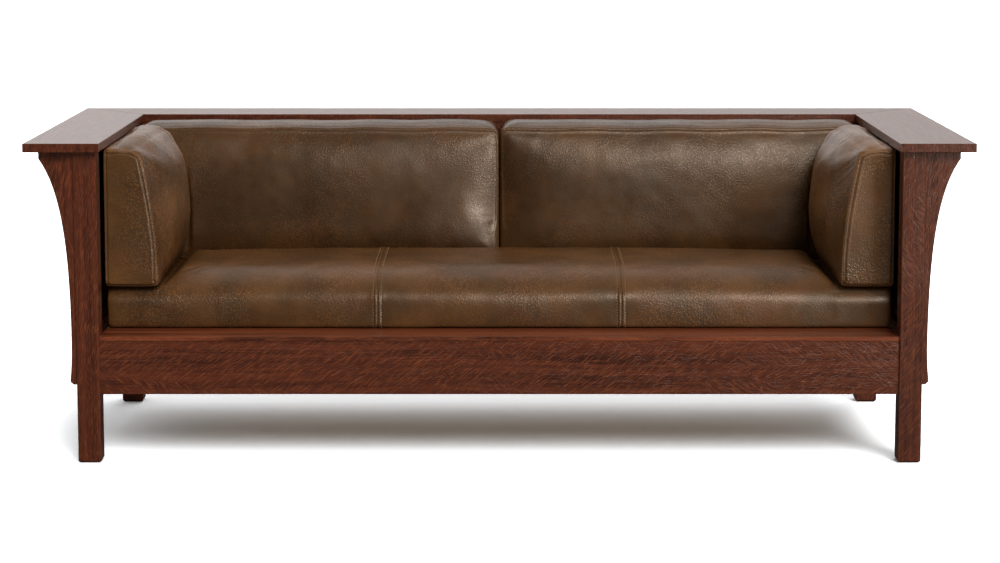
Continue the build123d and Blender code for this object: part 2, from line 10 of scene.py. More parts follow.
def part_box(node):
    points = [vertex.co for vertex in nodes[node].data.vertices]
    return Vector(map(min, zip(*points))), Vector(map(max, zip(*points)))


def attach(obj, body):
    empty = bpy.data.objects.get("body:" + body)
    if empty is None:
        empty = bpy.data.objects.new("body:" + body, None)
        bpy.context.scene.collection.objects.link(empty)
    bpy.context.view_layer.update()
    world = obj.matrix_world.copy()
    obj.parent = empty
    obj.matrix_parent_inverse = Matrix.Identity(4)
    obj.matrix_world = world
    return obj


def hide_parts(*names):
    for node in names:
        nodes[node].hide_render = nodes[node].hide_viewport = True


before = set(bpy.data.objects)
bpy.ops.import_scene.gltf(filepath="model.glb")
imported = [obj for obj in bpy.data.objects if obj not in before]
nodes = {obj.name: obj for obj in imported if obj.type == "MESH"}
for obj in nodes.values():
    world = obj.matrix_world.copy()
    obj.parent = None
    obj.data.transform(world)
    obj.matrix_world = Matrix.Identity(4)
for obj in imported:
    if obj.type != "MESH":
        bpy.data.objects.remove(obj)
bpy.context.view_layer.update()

# ---- studio ------------------------------------------------------------------------------
# A pale seamless floor under a white sky that is brightest behind the settle. Wide soft lights
# shine from above, in front and behind, and two softboxes at the right only give highlights.

scene = bpy.context.scene
scene.view_settings.view_transform = "Standard"
scene.view_settings.look = "None"

camera = bpy.data.objects.new("camera", bpy.data.cameras.new("camera"))
scene.collection.objects.link(camera)
camera.location = (0, -6.228, 1.320)
camera.rotation_euler = (math.radians(82.942), 0, 0)
camera.data.sensor_width = 36
camera.data.lens = 92.825
camera.data.shift_x = 0.0005
camera.data.shift_y = -0.08
scene.camera = camera


def wire(tree, kind, inputs=None, **settings):
    """Add one shader node; each input is a plain value or the socket that feeds it."""
    made = tree.nodes.new(kind)
    for name, value in settings.items():
        setattr(made, name, value)
    for key, value in (inputs or {}).items():
        if isinstance(value, bpy.types.NodeSocket):
            tree.links.new(value, made.inputs[key])
        else:
            made.inputs[key].default_value = value
    return made


sky = bpy.data.worlds.new("studio")
scene.world = sky
sky.use_nodes = True
sky.node_tree.nodes.clear()
towards = wire(sky.node_tree, "ShaderNodeTexCoord")
parts = wire(sky.node_tree, "ShaderNodeSeparateXYZ", {0: towards.outputs["Generated"]})
seen = wire(sky.node_tree, "ShaderNodeLightPath")
sky_white = 1.05
diffuse_level = wire(sky.node_tree, "ShaderNodeMapRange",
                     {"Value": parts.outputs["Y"], "From Min": -0.6, "From Max": 0.75,
                      "To Min": 0.25, "To Max": 0.88})
mirrored = wire(sky.node_tree, "ShaderNodeMapRange",
                {"Value": parts.outputs["Y"], "From Min": -0.5, "From Max": 0.8,
                 "To Min": 0.05, "To Max": 1.20})
fading = wire(sky.node_tree, "ShaderNodeMapRange",
              {"Value": parts.outputs["X"], "From Min": -0.3, "From Max": 0.3,
               "To Min": 1.12, "To Max": 0.78})
mirrored = wire(sky.node_tree, "ShaderNodeMath",
                {0: mirrored.outputs[0], 1: fading.outputs[0]}, operation="MULTIPLY")
level = wire(sky.node_tree, "ShaderNodeMix",
             {0: seen.outputs["Is Glossy Ray"], 2: diffuse_level.outputs[0],
              3: mirrored.outputs[0]}, data_type="FLOAT")
level = wire(sky.node_tree, "ShaderNodeMix",
             {0: seen.outputs["Is Camera Ray"], 2: level.outputs[0], 3: sky_white},
             data_type="FLOAT")
air = wire(sky.node_tree, "ShaderNodeBackground",
           {"Color": (1, 1, 1, 1), "Strength": level.outputs[0]})
wire(sky.node_tree, "ShaderNodeOutputWorld", {0: air.outputs[0]})

bm = bmesh.new()
bmesh.ops.create_grid(bm, x_segments=2, y_segments=2, size=40)
floor = bpy.data.objects.new("floor", bpy.data.meshes.new("floor"))
bm.to_mesh(floor.data)
bm.free()
scene.collection.objects.link(floor)
paint = bpy.data.materials.new("floor paint")
paint.use_nodes = True
paint.node_tree.nodes.clear()
bounced_grey = 0.42
mirrored_grey = 0.09
burnt_out_white = (1.45, 1.48, 1.51, 1)
seen = wire(paint.node_tree, "ShaderNodeLightPath").outputs
shade = wire(paint.node_tree, "ShaderNodeMix",
             {0: seen["Is Glossy Ray"], 2: bounced_grey, 3: mirrored_grey},
             data_type="FLOAT").outputs[0]
shade = wire(paint.node_tree, "ShaderNodeMix",
             {0: seen["Is Camera Ray"], 6: shade, 7: burnt_out_white},
             data_type="RGBA").outputs[2]
matt = wire(paint.node_tree, "ShaderNodeBsdfDiffuse", {"Color": shade})
wire(paint.node_tree, "ShaderNodeOutputMaterial", {0: matt.outputs[0]})
floor.data.materials.append(paint)

for name, energy, spread, source in (("overhead", 0.62, 50, (0.2, 0.1, 1.6)),
                                     ("front", 3.15, 30, (0.35, -1.0, 0.8)),
                                     ("rear", 0.9, 40, (0.3, 1.0, 0.8))):
    sun = bpy.data.objects.new(name, bpy.data.lights.new(name, "SUN"))
    sun.data.energy = energy
    sun.data.angle = math.radians(spread)
    sun.rotation_euler = Vector(source).to_track_quat("Z", "Y").to_euler()
    sun.visible_glossy = False
    scene.collection.objects.link(sun)

for name, wide, tall, energy, stand, aim in (
    ("side softbox", 1.8, 2.6, 323, (3.6, -4.2, 1.35), (0, 0, 0.5)),
    ("upper softbox", 1.2, 2.4, 190, (1.3, -5.1, 3.4), (0.5, 0, 0.6)),
):
    softbox = bpy.data.objects.new(name, bpy.data.lights.new(name, "AREA"))
    softbox.data.shape = "RECTANGLE"
    softbox.data.size = wide
    softbox.data.size_y = tall
    softbox.data.energy = energy
    softbox.location = stand
    softbox.rotation_euler = (Vector(stand) - Vector(aim)).to_track_quat("Z", "Y").to_euler()
    softbox.visible_diffuse = False
    scene.collection.objects.link(softbox)

# ---- posts -------------------------------------------------------------------------------
# Four square posts of quarter-sawn oak, stained a dark red-brown and finished in satin
# lacquer. They are planed, eased along their edges and chamfered at the foot.

oak = bpy.data.node_groups.new("quarter-sawn oak", "ShaderNodeTree")
for name, kind, way in (
    ("Board", "NodeSocketVector", "INPUT"),
    ("Seed", "NodeSocketFloat", "INPUT"),
    ("Figure", "NodeSocketFloat", "INPUT"),
    ("Slant", "NodeSocketFloat", "INPUT"),
    ("Dark", "NodeSocketColor", "INPUT"),
    ("Middle", "NodeSocketColor", "INPUT"),
    ("Fleck", "NodeSocketColor", "INPUT"),
    ("Color", "NodeSocketColor", "OUTPUT"),
    ("Roughness", "NodeSocketFloat", "OUTPUT"),
    ("Height", "NodeSocketFloat", "OUTPUT"),
):
    oak.interface.new_socket(name=name, in_out=way, socket_type=kind)


def stretch(tree, place, sizes):
    """The board's coordinates, counted in grain features instead of metres."""
    return wire(tree, "ShaderNodeVectorMath", {0: place, 1: sizes}, operation="MULTIPLY").outputs[0]


def cloud(tree, place, sizes, detail=2.0, rough=0.5):
    """Soft noise drawn out along a board."""
    return wire(tree, "ShaderNodeTexNoise",
                {"Vector": stretch(tree, place, sizes), "Scale": 1.0, "Detail": detail,
                 "Roughness": rough}).outputs["Fac"]


def between(tree, value, low, high, to_low=0.0, to_high=1.0):
    """A value eased from one range into another."""
    return wire(tree, "ShaderNodeMapRange",
                {"Value": value, "From Min": low, "From Max": high, "To Min": to_low,
                 "To Max": to_high}, interpolation_type="SMOOTHSTEP").outputs[0]


def maths(tree, operation, first, second=0.0, third=0.0):
    """One sum or product of two or three values."""
    return wire(tree, "ShaderNodeMath", {0: first, 1: second, 2: third},
                operation=operation).outputs[0]


def blend(tree, share, first, second, how="MIX"):
    """One colour laid over another."""
    return wire(tree, "ShaderNodeMix", {0: share, 6: first, 7: second}, data_type="RGBA",
                blend_type=how).outputs[2]


# Features per metre along the grain, across the face and through the board.
sway_size = (2.2, 7, 7)
ring_size = (0.9, 70, 12)
fibre_size = (9, 420, 120)
pore_size = (34, 620, 260)
patch_size = (3.5, 9, 9)
upstroke_size = (42, 560, 80)
downstroke_size = (46, 600, 80)

given = wire(oak, "NodeGroupInput").outputs
start = wire(oak, "ShaderNodeVectorMath", {0: (1.9, 0.7, 0.3), 3: given["Seed"]},
             operation="SCALE")
place = wire(oak, "ShaderNodeVectorMath", {0: given["Board"], 1: start.outputs[0]},
             operation="ADD").outputs[0]
sway = wire(oak, "ShaderNodeTexNoise", {"Vector": stretch(oak, place, sway_size), "Scale": 1.0,
                                        "Detail": 2.0}).outputs["Color"]
swayed = wire(oak, "ShaderNodeVectorMath", {0: sway, 1: (0.0, 0.035, 0.01), 2: place},
              operation="MULTIPLY_ADD").outputs[0]
rings = cloud(oak, swayed, ring_size, 4.0, 0.6)
fibre = cloud(oak, swayed, fibre_size, 2.0, 0.6)
pores = between(oak, cloud(oak, swayed, pore_size, 1.0), 0.62, 0.72)
patches = cloud(oak, place, patch_size, 2.0)
zone = between(oak, patches, 0.53, 0.60)
rising = wire(oak, "ShaderNodeVectorRotate",
              {"Vector": swayed, "Angle": maths(oak, "MULTIPLY", given["Slant"], -1.0)},
              rotation_type="Z_AXIS").outputs[0]
falling = wire(oak, "ShaderNodeVectorRotate",
               {"Vector": swayed, "Angle": maths(oak, "MULTIPLY", given["Slant"], 1.15)},
               rotation_type="Z_AXIS").outputs[0]
upstroke = between(oak, cloud(oak, rising, upstroke_size, 2.0, 0.5), 0.50, 0.63)
downstroke = between(oak, cloud(oak, falling, downstroke_size, 2.0, 0.5), 0.51, 0.64)
strokes = wire(oak, "ShaderNodeMix", {0: zone, 2: upstroke, 3: downstroke},
               data_type="FLOAT").outputs[0]
flecks = maths(oak, "MULTIPLY", strokes, given["Figure"])
tone = blend(oak, between(oak, rings, 0.34, 0.64), given["Dark"], given["Middle"])
tone = blend(oak, between(oak, fibre, 0.45, 0.8, 0, 0.35), tone, given["Fleck"])
tone = blend(oak, between(oak, patches, 0.3, 0.7, 0.0, 0.35), tone, given["Middle"])
tone = blend(oak, maths(oak, "MULTIPLY", flecks, 0.56), tone, given["Fleck"])
tone = blend(oak, maths(oak, "MULTIPLY", pores, 0.55), tone, given["Dark"])
rough = maths(oak, "MULTIPLY_ADD", fibre, 0.16, 0.22)
height = maths(oak, "SUBTRACT", maths(oak, "MULTIPLY", fibre, 0.5), pores)
height = maths(oak, "ADD", height, maths(oak, "MULTIPLY", flecks, 0.35))
wire(oak, "NodeGroupOutput", {"Color": tone, "Roughness": rough, "Height": height})

# Each way a board lies: the axis its grain runs along, the one across its face, the one through.
axes = {"X": ("X", "Z", "Y"), "Y": ("Y", "Z", "X"), "Z": ("Z", "X", "Y"),
        "flat X": ("X", "Y", "Z"), "flat Y": ("Y", "X", "Z"), "side Z": ("Z", "Y", "X")}
stain_dark = (0.026, 0.0062, 0.0036, 1)
stain_middle = (0.070, 0.0155, 0.0066, 1)
stain_fleck = (0.175, 0.046, 0.0160, 1)
lacquer_tint = (1.0, 0.72, 0.60, 1)


def timber(name, lie, seed, figure=1.0, slant=34, dark=stain_dark, middle=stain_middle,
           fleck=stain_fleck, lacquer=0.35):
    """A board's material: lie says which way the grain runs and which face shows its figure."""
    made = bpy.data.materials.new(name)
    made.use_nodes = True
    tree = made.node_tree
    skin = tree.nodes["Principled BSDF"]
    here = wire(tree, "ShaderNodeTexCoord").outputs["Object"]
    way = wire(tree, "ShaderNodeSeparateXYZ", {0: here}).outputs
    board = wire(tree, "ShaderNodeCombineXYZ", {n: way[a] for n, a in enumerate(axes[lie])})
    wood = wire(tree, "ShaderNodeGroup", node_tree=oak)
    tree.links.new(board.outputs[0], wood.inputs["Board"])
    wood.inputs["Seed"].default_value = seed
    wood.inputs["Figure"].default_value = figure
    wood.inputs["Slant"].default_value = math.radians(slant)
    wood.inputs["Dark"].default_value = dark
    wood.inputs["Middle"].default_value = middle
    wood.inputs["Fleck"].default_value = fleck
    tree.links.new(wood.outputs["Color"], skin.inputs["Base Color"])
    tree.links.new(wood.outputs["Roughness"], skin.inputs["Roughness"])
    relief = wire(tree, "ShaderNodeBump", {"Height": wood.outputs["Height"], "Strength": 0.35,
                                           "Distance": 0.0006})
    tree.links.new(relief.outputs[0], skin.inputs["Normal"])
    skin.inputs["Specular IOR Level"].default_value = lacquer
    skin.inputs["Specular Tint"].default_value = lacquer_tint
    return made


def dress(names, material):
    """Give CAD nodes a material."""
    for name in names:
        mesh = nodes[name].data
        mesh.materials.clear()
        mesh.materials.append(material)


for seed, (name, slant) in enumerate((("front_left_post", 11), ("front_right_post", 38),
                                      ("rear_left_post", 25), ("rear_right_post", 15))):
    dress([name], timber(f"{name} oak", "Z", 1.0 + 2.3 * seed, slant=slant))

# ---- rails, stiles and panels ------------------------------------------------------------
# Frame-and-panel back and sides: oak rails tenoned into the posts, short stiles between
# them and thin panels that float in grooves. One wide rail runs along the front.

dress(["front_rail"], timber("front rail oak", "X", 3.7))
dress(["back_lower_rail", "back_upper_rail"], timber("back rail oak", "X", 8.1))
dress(["left_lower_rail", "left_upper_rail"], timber("left rail oak", "Y", 5.2))
dress(["right_lower_rail", "right_upper_rail"], timber("right rail oak", "Y", 6.9))
dress([f"back_stile_{n}" for n in (1, 2, 3, 4)], timber("back stile oak", "Z", 11.3, figure=0.7))
dress(["left_stile_1", "right_stile_1"], timber("side stile oak", "side Z", 12.7, figure=0.7))
for n in (1, 2, 3, 4, 5):
    dress([f"back_panel_{n}"], timber(f"back panel oak {n}", "Z", 20.0 + 1.7 * n))
for n, name in enumerate(("left_panel_1", "left_panel_2", "right_panel_1", "right_panel_2")):
    dress([name], timber(f"side panel oak {n + 1}", "side Z", 30.0 + 1.9 * n))

# ---- caps --------------------------------------------------------------------------------
# Three wide flat boards, mitred at the back corners, each mitre held by a hidden key. They
# sit on dowels in the posts and top rails. The arm boards show end grain at the front.

for seed, (name, lie) in enumerate((("left_arm_cap", "flat Y"), ("right_arm_cap", "flat Y"),
                                    ("back_cap", "flat X"))):
    dress([name], timber(f"{name} oak", lie, 40.0 + 2.9 * seed, figure=0.7))
dress(["left_mitre_key", "right_mitre_key", "cap_dowels"],
      timber("peg oak", "flat X", 50.0, figure=0.3))

# ---- corbels -----------------------------------------------------------------------------
# Sawn brackets under the caps, long and hollow-curved, screwed to the posts from outside
# with the screws sunk and plugged.

for seed, name in enumerate(("front_left_corbel", "front_right_corbel", "rear_left_corbel",
                             "rear_right_corbel")):
    dress([name], timber(f"{name} oak", "Z", 60.0 + 1.3 * seed, slant=16))
dress(["back_left_corbel", "back_right_corbel"], timber("back corbel oak", "side Z", 70.0))
dress(["corbel_plugs"], timber("plug oak", "X", 71.0, figure=0.3))

# ---- seat platform -----------------------------------------------------------------------
# An oak ledge behind the front rail and a plywood deck carry the seat cushion. Pine slats
# under them are screwed down onto two cleats along the rails.

# The ledge is given a lighter copy of the oak stain: painted light, for the light that its top face
# and front edge catch.
dress(["seat_ledge"], timber("ledge oak painted lighter", "flat X", 81.0, figure=0.25, slant=5,
                             dark=(0.022, 0.0048, 0.0026, 1), middle=(0.150, 0.034, 0.0125, 1),
                             fleck=(0.260, 0.078, 0.026, 1)))
pine = {"figure": 0.15, "dark": (0.36, 0.21, 0.095, 1), "middle": (0.56, 0.37, 0.19, 1),
        "fleck": (0.66, 0.48, 0.27, 1), "lacquer": 0.2}
dress(["seat_slats"], timber("slat pine", "flat Y", 91.0, **pine))
dress(["seat_deck"], timber("deck plywood", "flat X", 93.0, **pine))
dress(["front_cleat", "rear_cleat"], timber("cleat pine", "X", 95.0, **pine))

zinc = bpy.data.materials.new("zinc-plated steel")
zinc.use_nodes = True
tree = zinc.node_tree
skin = tree.nodes["Principled BSDF"]
here = wire(tree, "ShaderNodeTexCoord").outputs["Object"]
spangle = cloud(tree, here, (900, 900, 900), 2.0)
tree.links.new(blend(tree, spangle, (0.42, 0.42, 0.43, 1), (0.62, 0.61, 0.58, 1)),
               skin.inputs["Base Color"])
tree.links.new(between(tree, spangle, 0.3, 0.7, 0.28, 0.45), skin.inputs["Roughness"])
skin.inputs["Metallic"].default_value = 1.0
dress(["slat_screws", "cleat_screws", "corbel_screws"], zinc)

# ---- seat cushion ------------------------------------------------------------------------
# One long cushion of foam with a soft topper, in brown pebbled leather. The cover is three
# panels wide, sewn together with a row of topstitching on each side of both seams.

hide = bpy.data.node_groups.new("pebbled leather", "ShaderNodeTree")
for name, kind, way in (
    ("Place", "NodeSocketVector", "INPUT"),
    ("Seed", "NodeSocketFloat", "INPUT"),
    ("Rub", "NodeSocketFloat", "INPUT"),
    # The fourth input scales the leather's colour: painted light and shade, lighter for cushions
    # facing the lamps and darker for those in shade.
    ("Light", "NodeSocketFloat", "INPUT"),
    ("Color", "NodeSocketColor", "OUTPUT"),
    ("Roughness", "NodeSocketFloat", "OUTPUT"),
    ("Height", "NodeSocketFloat", "OUTPUT"),
):
    hide.interface.new_socket(name=name, in_out=way, socket_type=kind)
dark_hide = (0.048, 0.0192, 0.0048, 1)
light_hide = (0.088, 0.0355, 0.0094, 1)
stained_hide = (0.050, 0.0230, 0.0058, 1)
ruddy_hide = (0.095, 0.0326, 0.0104, 1)
rubbed_hide = (0.150, 0.0595, 0.0140, 1)
wax_tint = (1.0, 0.84, 0.68, 1)
pebbles_per_metre = 215.0

given = wire(hide, "NodeGroupInput").outputs
start = wire(hide, "ShaderNodeVectorMath", {0: (0.9, 1.3, 0.6), 3: given["Seed"]},
             operation="SCALE")
place = wire(hide, "ShaderNodeVectorMath", {0: given["Place"], 1: start.outputs[0]},
             operation="ADD").outputs[0]
blotches = cloud(hide, place, (6, 6, 6), 4.0, 0.62)
stains = cloud(hide, place, (17, 17, 17), 3.0, 0.6)
ruddy = cloud(hide, place, (9, 9, 13), 2.0, 0.5)
coarse = between(hide, cloud(hide, place, (7, 7, 7), 2.0), 0.40, 0.62, 0.35, 1.0)
drift = wire(hide, "ShaderNodeTexNoise", {"Vector": stretch(hide, place, (45, 45, 45)),
                                          "Scale": 1.0, "Detail": 1.0}).outputs["Color"]
drifted = wire(hide, "ShaderNodeVectorMath", {0: drift, 1: (0.008, 0.008, 0.008), 2: place},
               operation="MULTIPLY_ADD").outputs[0]
pebbles = wire(hide, "ShaderNodeTexVoronoi",
               {"Vector": drifted, "Scale": pebbles_per_metre, "Smoothness": 0.35},
               feature="SMOOTH_F1").outputs["Distance"]
pebble = between(hide, pebbles, 0.12, 0.62, 1.0, 0.0)
pores = between(hide, cloud(hide, drifted, (620, 620, 620), 2.0, 0.6), 0.35, 0.7)
tone = blend(hide, between(hide, blotches, 0.34, 0.66), dark_hide, light_hide)
tone = blend(hide, between(hide, stains, 0.44, 0.72, 0.0, 0.45), tone, stained_hide)
tone = blend(hide, between(hide, ruddy, 0.5, 0.75, 0.0, 0.45), tone, ruddy_hide)
tone = blend(hide, maths(hide, "MULTIPLY", given["Rub"], 0.35), tone, rubbed_hide)
valley = maths(hide, "SUBTRACT", 1.0, pebble)
# Pebble tops are coloured lighter and the creases between them darker, and the tone is then scaled
# by the cushion's painted light level: painted light and shade.
pebble_contrast_and_painted_light = maths(hide, "MULTIPLY", maths(hide, "SUBTRACT", pebble, 0.45), coarse)
pebble_contrast_and_painted_light = maths(hide, "MULTIPLY", maths(hide, "MULTIPLY_ADD", pebble_contrast_and_painted_light, 0.7, 1.0), given["Light"])
tone = blend(hide, 1.0, tone, pebble_contrast_and_painted_light, "MULTIPLY")
rough = maths(hide, "ADD", between(hide, stains, 0.3, 0.7, 0.25, 0.33),
              maths(hide, "MULTIPLY", valley, 0.12))
height = maths(hide, "ADD", pebble, maths(hide, "MULTIPLY", pores, 0.3))
height = maths(hide, "MULTIPLY", coarse, height)
wire(hide, "NodeGroupOutput", {"Color": tone, "Roughness": rough, "Height": height})


def leather(name, seed, relief=0.5, painted_light=1.0):
    """A cushion's leather: mottled, pebbled and rubbed lighter where it rolls over a seam, its
    colour scaled by a painted light level.
    """
    made = bpy.data.materials.new(name)
    made.use_nodes = True
    tree = made.node_tree
    skin = tree.nodes["Principled BSDF"]
    grain = wire(tree, "ShaderNodeGroup", node_tree=hide)
    here = wire(tree, "ShaderNodeTexCoord").outputs["Object"]
    rub = wire(tree, "ShaderNodeAttribute", attribute_name="rub").outputs["Fac"]
    tree.links.new(here, grain.inputs["Place"])
    tree.links.new(rub, grain.inputs["Rub"])
    grain.inputs["Seed"].default_value = seed
    grain.inputs["Light"].default_value = painted_light
    tree.links.new(grain.outputs["Color"], skin.inputs["Base Color"])
    tree.links.new(grain.outputs["Roughness"], skin.inputs["Roughness"])
    bump = wire(tree, "ShaderNodeBump", {"Height": grain.outputs["Height"], "Strength": relief,
                                         "Distance": 0.0012})
    tree.links.new(bump.outputs[0], skin.inputs["Normal"])
    skin.inputs["Specular IOR Level"].default_value = 0.40
    skin.inputs["Specular Tint"].default_value = wax_tint
    return made


def outer_skin(node):
    """The outside of a hollow cover, without the inner skin that lies on the foam."""
    bm = bmesh.new()
    bm.from_mesh(nodes[node].data)
    bmesh.ops.remove_doubles(bm, verts=bm.verts, dist=1e-5)
    edge = min(bm.verts, key=lambda v: v.co.z)
    outside = {edge}
    front = [edge]
    while front:
        reached = {e.other_vert(v) for v in front for e in v.link_edges} - outside
        outside |= reached
        front = list(reached)
    bmesh.ops.delete(bm, geom=[v for v in bm.verts if v not in outside], context="VERTS")
    bmesh.ops.recalc_face_normals(bm, faces=bm.faces)
    return bm


def coords(mesh):
    """A mesh's points as an array."""
    flat = np.zeros(len(mesh.vertices) * 3, np.float32)
    mesh.vertices.foreach_get("co", flat)
    return flat.reshape(-1, 3)


def settled(piece):
    """Apply a piece's modifiers to its mesh."""
    graph = bpy.context.evaluated_depsgraph_get()
    made = bpy.data.meshes.new_from_object(piece.evaluated_get(graph))
    old = piece.data
    piece.modifiers.clear()
    piece.data = made
    bpy.data.meshes.remove(old)


def moved_to(piece, at):
    """Put a piece's points at new places."""
    piece.data.vertices.foreach_set("co", at.astype(np.float32).ravel())
    piece.data.update()


def ease(value, low, high):
    """Nought below one mark, one above the other, and smooth between them."""
    share = np.clip((value - low) / (high - low), 0, 1)
    return share * share * (3 - 2 * share)


last_step = 20
slack = 0.003


def stuffed(name, node, voxel, soften, pressure, shaped, held, swell, room):
    """Fill a cover: round it, draw it in, blow it up as cloth and refine it.

    The swell is an axis and how far the cover moves along it at most. The room is how far a
    point may go back and ahead on each axis.
    """
    bm = outer_skin(node)
    piece = bpy.data.objects.new(name, bpy.data.meshes.new(name))
    bm.to_mesh(piece.data)
    bm.free()
    scene.collection.objects.link(piece)
    remesh = piece.modifiers.new("remesh", "REMESH")
    remesh.mode = "VOXEL"
    remesh.voxel_size = voxel
    rounder = piece.modifiers.new("rounder", "SMOOTH")
    rounder.factor = 0.5
    rounder.iterations = soften
    settled(piece)
    rest = shaped(coords(piece.data))
    moved_to(piece, rest)
    normals = np.array([v.normal for v in piece.data.vertices], np.float32)
    hold = np.clip(held(rest), 0, 1)
    small = (rest - normals * (slack * (1 - hold))[:, None]).astype(np.float32)
    moved_to(piece, small)
    pins = piece.vertex_groups.new(name="pins")
    for index in np.flatnonzero(hold > 0.02):
        pins.add([int(index)], float(hold[index]), "REPLACE")
    cloth = piece.modifiers.new("cloth", "CLOTH")
    cloth.settings.quality = 5
    cloth.settings.mass = 0.25
    cloth.settings.tension_stiffness = 10
    cloth.settings.compression_stiffness = 5
    cloth.settings.shear_stiffness = 4
    cloth.settings.bending_stiffness = 0.5
    cloth.settings.use_pressure = True
    cloth.settings.uniform_pressure_force = pressure
    cloth.settings.effector_weights.gravity = 0
    cloth.settings.vertex_group_mass = "pins"
    cloth.settings.pin_stiffness = 1
    cloth.collision_settings.use_collision = False
    cloth.point_cache.frame_start = 1
    cloth.point_cache.frame_end = last_step
    for step in range(1, last_step + 1):
        scene.frame_set(step)
    settled(piece)
    scene.frame_set(1)
    moved = coords(piece.data) - small
    main_axis, most = swell
    moved *= most / np.abs(moved[:, main_axis]).max()
    for axis, (back, ahead) in enumerate(room):
        reach = np.where(moved[:, axis] > 0, ahead, back)
        moved[:, axis] = reach * np.tanh(moved[:, axis] / reach)
    moved_to(piece, small + moved)
    finer = piece.modifiers.new("finer", "SUBSURF")
    finer.levels = finer.render_levels = 1
    settled(piece)
    return piece


def distance_to(at, paths):
    """How far each point lies from the nearest of some paths."""
    line = np.concatenate([np.asarray(path)[::2] for path in paths]).astype(np.float32)
    gap = np.empty(len(at), np.float32)
    for part in np.array_split(np.arange(len(at)), 80):
        gap[part] = np.sqrt(((at[part, None, :] - line[None]) ** 2).sum(axis=2).min(axis=1))
    return gap


def ridge(gap, centre, width):
    """One at some distance from a line, and less on both sides of it."""
    return np.exp(-((gap - centre) / width) ** 2)


seam_sink = 0.0022
row_sink = 0.0010
groove = 0.0022
welt = 0.0006


def trimmed(piece, seams, rows, kept, waves=0.0012, folds=(30, 30, 30), worn=1.0):
    """Give a filled cover its creases, its sunk seams and stitch rows, and keep it in its place."""
    bm = bmesh.new()
    bm.from_mesh(piece.data)
    bm.verts.ensure_lookup_table()
    at = coords(piece.data)
    near = distance_to(at, seams + rows) < 0.008
    fine = [e for e in bm.edges if near[e.verts[0].index] and near[e.verts[1].index]]
    bmesh.ops.subdivide_edges(bm, edges=fine, cuts=1, use_grid_fill=True)
    bm.to_mesh(piece.data)
    bm.free()
    piece.data.update()
    at = coords(piece.data)
    normals = np.array([v.normal for v in piece.data.vertices], np.float32)
    folds = Vector(folds)
    creases = np.array([noise.noise(Vector(p) * 9) + 0.4 * noise.noise(Vector(p) * folds)
                        for p in at])
    gap = distance_to(at, seams)
    lift = waves * creases * ease(gap, 0.0, 0.03)
    lift -= seam_sink * ridge(gap, 0.0, groove)
    if rows:
        lift -= row_sink * ridge(distance_to(at, rows), 0.0, groove)
    lift += welt * ridge(gap, 0.0050, 0.0030)
    moved_to(piece, kept(at + normals * lift[:, None]))
    rub = piece.data.attributes.new("rub", "FLOAT", "POINT")
    shown = worn * ridge(gap, 0.007, 0.007) * (1 - ease(-normals[:, 1], 0.80, 0.97))
    rub.data.foreach_set("value", shown.astype(np.float32))
    piece.data.polygons.foreach_set("use_smooth", np.ones(len(piece.data.polygons), bool))
    piece.data.update()


def evenly(points, step):
    """Points at an even pace along a path."""
    points = np.array(points)
    runs = np.linalg.norm(np.diff(points, axis=0), axis=1)
    along = np.concatenate([[0], np.cumsum(runs)])
    count = max(2, int(along[-1] / step))
    marks = np.linspace(0, along[-1], count)
    return np.stack([np.interp(marks, along, points[:, k]) for k in range(3)], axis=1)


path_step = 0.002


def traced(piece, centre, first, second, start, stop, spread=1.0):
    """A seam's path: rays from inside the cushion, turned from one direction to another."""
    tree = BVHTree.FromObject(piece, bpy.context.evaluated_depsgraph_get())
    first, second = Vector(first), Vector(second) * spread
    path = []
    for turn in np.linspace(start, stop, 400):
        ray = (first * math.cos(turn) + second * math.sin(turn)).normalized()
        hit = tree.ray_cast(Vector(centre), ray)[0]
        if hit is not None:
            path.append(tuple(hit))
    return evenly(path, path_step)


def set_in(piece, loop, near, far, side, way):
    """Move a loop that runs round an arm cushion's end in onto its end panel.

    It lies further in at the top and on the sitter's side than at the foot and the post.
    """
    tree = BVHTree.FromObject(piece, bpy.context.evaluated_depsgraph_get())
    loop = np.asarray(loop)
    along = np.roll(loop, -1, axis=0) - np.roll(loop, 1, axis=0)
    inward = np.stack([-along[:, 2], np.zeros(len(loop)), along[:, 0]], axis=1)
    inward /= np.linalg.norm(inward, axis=1)[:, None]
    inward *= np.sign(((loop.mean(axis=0) - loop) * inward).sum(axis=1))[:, None]
    depth = near + (far - near) * np.clip(side * inward[:, 0] - inward[:, 2], 0, 1)
    path = []
    for spot in loop + inward * depth[:, None]:
        outside = Vector((spot[0], spot[1] - way * 0.1, spot[2]))
        hit = tree.ray_cast(outside, Vector((0, way, 0)))[0]
        if hit is not None:
            path.append(tuple(hit))
    return evenly(path + path[:1], path_step)


cord_radius = 0.0011


def laid_on(piece, path, name, lift):
    """A round cord sewn along a path on a cushion."""
    line = bpy.data.curves.new(name, "CURVE")
    line.dimensions = "3D"
    line.bevel_depth = cord_radius
    line.bevel_resolution = 1
    line.use_fill_caps = True
    strand = line.splines.new("POLY")
    path = evenly(path, 0.006)
    tree = BVHTree.FromObject(piece, bpy.context.evaluated_depsgraph_get())
    strand.points.add(len(path) - 1)
    for spot, point in zip(strand.points, path):
        near, out, _, _ = tree.find_nearest(Vector(point))
        spot.co = (*(near + out * lift), 1)
    made = bpy.data.objects.new(name, line)
    scene.collection.objects.link(made)
    return made


stitch_pitch = 0.0068
stitch_length = 0.0052
thread_radius = 0.0008


